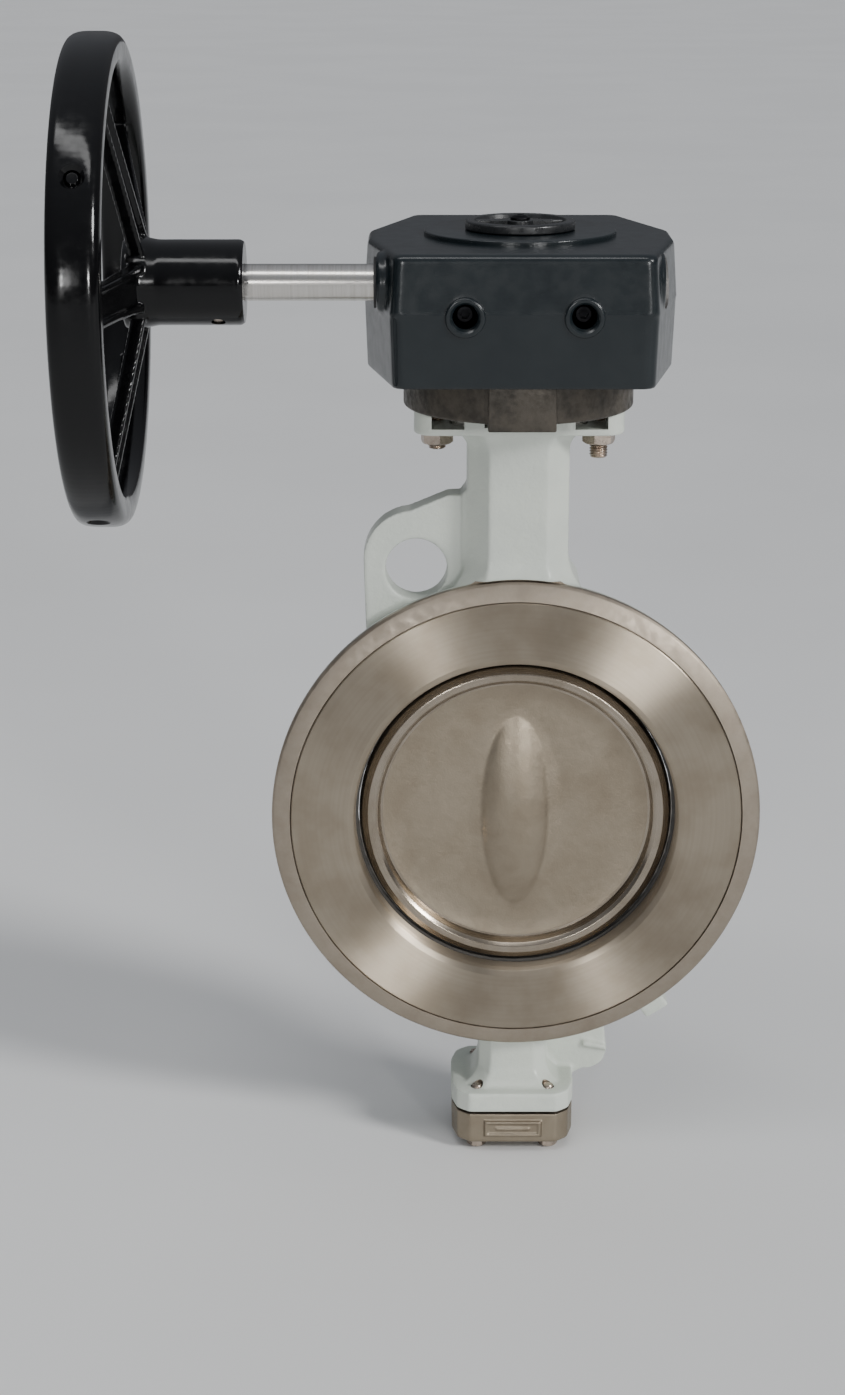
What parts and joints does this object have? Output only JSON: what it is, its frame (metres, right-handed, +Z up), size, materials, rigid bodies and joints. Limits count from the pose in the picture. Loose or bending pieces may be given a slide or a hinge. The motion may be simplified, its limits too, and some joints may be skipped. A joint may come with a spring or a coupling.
{
  "type": "butterfly valve",
  "caption": "Wafer butterfly valve with an offset disc, turned retainer ring, lifting lug, worm gear operator, position indicator and a side handwheel.",
  "frame": {"origin": "where the pipe axis meets the stem axis, midway between the two pipe faces", "axes": "+Y along the pipe, from the retainer ring's face to the rear face; +Z up the stem to the gear operator; +X away from the handwheel"},
  "size_m": [0.291, 0.215, 0.501],
  "materials": {
    "body_paint": "satin light grey-green paint over a cast surface",
    "turned_steel": "fine concentric turning marks",
    "cast_steel": "blasted casting, matte",
    "bright_steel": "ground and polished steel",
    "fastener_steel": "plain stainless fasteners",
    "black_oxide": "black oxide on steel",
    "cast_iron": "bare cast and turned iron",
    "operator_paint": "gloss dark blue-green paint on cast iron",
    "black_gloss": "thick gloss black coating",
    "black_plastic": "moulded black plastic",
    "ptfe": "filled PTFE",
    "graphite": "pressed graphite",
    "bronze": "turned bronze",
    "rubber": "nitrile rubber"
  },
  "bodies": {
    "root": {"valve_body": "body_paint", "retainer_ring": "turned_steel", "retainer_gasket": "graphite", "seat_ring": "ptfe", "seat_energiser": "bright_steel", "upper_bush": "bronze", "lower_bush": "bronze", "thrust_washer": "bronze", "packing_ring_1": "graphite", "packing_ring_2": "graphite", "packing_ring_3": "graphite", "packing_ring_4": "graphite", "gland_bush": "bright_steel", "gland_flange": "bright_steel", "gland_bolt_left": "fastener_steel", "gland_bolt_right": "fastener_steel", "bottom_gasket": "graphite", "bottom_cover": "cast_steel", "cover_screw_1": "fastener_steel", "cover_screw_2": "fastener_steel", "cover_screw_3": "fastener_steel", "cover_screw_4": "fastener_steel", "gear_housing": "operator_paint", "gear_base": "cast_iron", "base_screw_1": "fastener_steel", "base_screw_2": "fastener_steel", "base_screw_3": "fastener_steel", "base_screw_4": "fastener_steel", "base_bush": "bronze", "worm_bush_left": "bronze", "worm_bush_right": "bronze", "shaft_seal": "rubber", "worm_end_plug": "bright_steel", "stop_screw_left": "black_oxide", "stop_screw_right": "black_oxide", "mounting_stud_left": "fastener_steel", "mounting_stud_right": "fastener_steel", "mounting_washer_left": "fastener_steel", "mounting_washer_right": "fastener_steel", "mounting_nut_left": "fastener_steel", "mounting_nut_right": "fastener_steel"},
    "disc_and_stem": {"stem": "bright_steel", "stem_key": "bright_steel", "disc": "cast_steel", "disc_pin_upper": "bright_steel", "disc_pin_lower": "bright_steel", "worm_wheel": "bronze", "position_indicator": "black_plastic", "indicator_screw": "black_oxide"},
    "handwheel_and_worm": {"handwheel": "black_gloss", "hub_pin": "fastener_steel", "worm_shaft": "bright_steel", "rim_plug_upper": "black_gloss", "rim_plug_lower": "black_gloss"}
  },
  "joints": [
    {"name": "handwheel_turn", "type": "hinge", "parent": "root", "child": "handwheel_and_worm", "pos_m": [-0.12, -0.045, 0.24], "axis": [-1, 0, 0], "range_deg": [0, 3600]},
    {"name": "disc_turn", "type": "hinge", "parent": "root", "child": "disc_and_stem", "pos_m": [0, 0, 0], "axis": [0, 0, 1], "range_deg": [0, 90]}
  ],
  "couplings": [
    {"joint": "disc_turn", "follows": "handwheel_turn", "ratio": 0.025}
  ]
}
